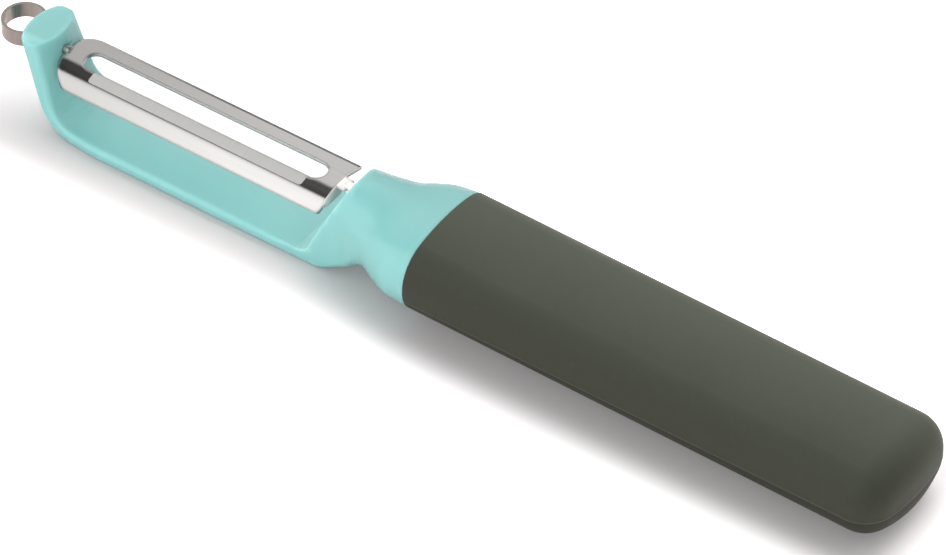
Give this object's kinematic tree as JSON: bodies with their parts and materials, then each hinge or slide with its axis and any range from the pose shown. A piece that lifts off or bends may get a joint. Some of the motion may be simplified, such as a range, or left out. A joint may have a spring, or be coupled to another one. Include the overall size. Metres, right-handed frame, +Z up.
{
  "type": "vegetable peeler",
  "caption": "Straight swivel peeler: slotted steel blade between a tip post and a flared neck on one moulded frame, with a soft oval grip and an eye remover loop at the tip.",
  "frame": {"origin": "on the table, under the middle of the overall length and width", "axes": "+X from the tip to the grip's end, +Z up with the blade on top, +Y across"},
  "size_m": [0.2016, 0.027, 0.0184],
  "materials": {
    "frame_plastic": "pale teal moulded plastic, satin gloss",
    "grip_rubber": "dark grey-green soft-touch overmould, matte",
    "blade_steel": "brushed stainless steel with a bright ground flank",
    "loop_steel": "satin stainless steel strip"
  },
  "bodies": {
    "frame": {"head_frame": "frame_plastic", "grip_sleeve": "grip_rubber", "eye_remover_loop": "loop_steel"},
    "blade": {"swivel_blade": "blade_steel"}
  },
  "joints": [
    {"name": "blade_swivel", "type": "hinge", "parent": "frame", "child": "blade", "pos_m": [-0.055, 0, 0.0144], "axis": [1, 0, 0], "range_deg": [-40, 40]}
  ]
}
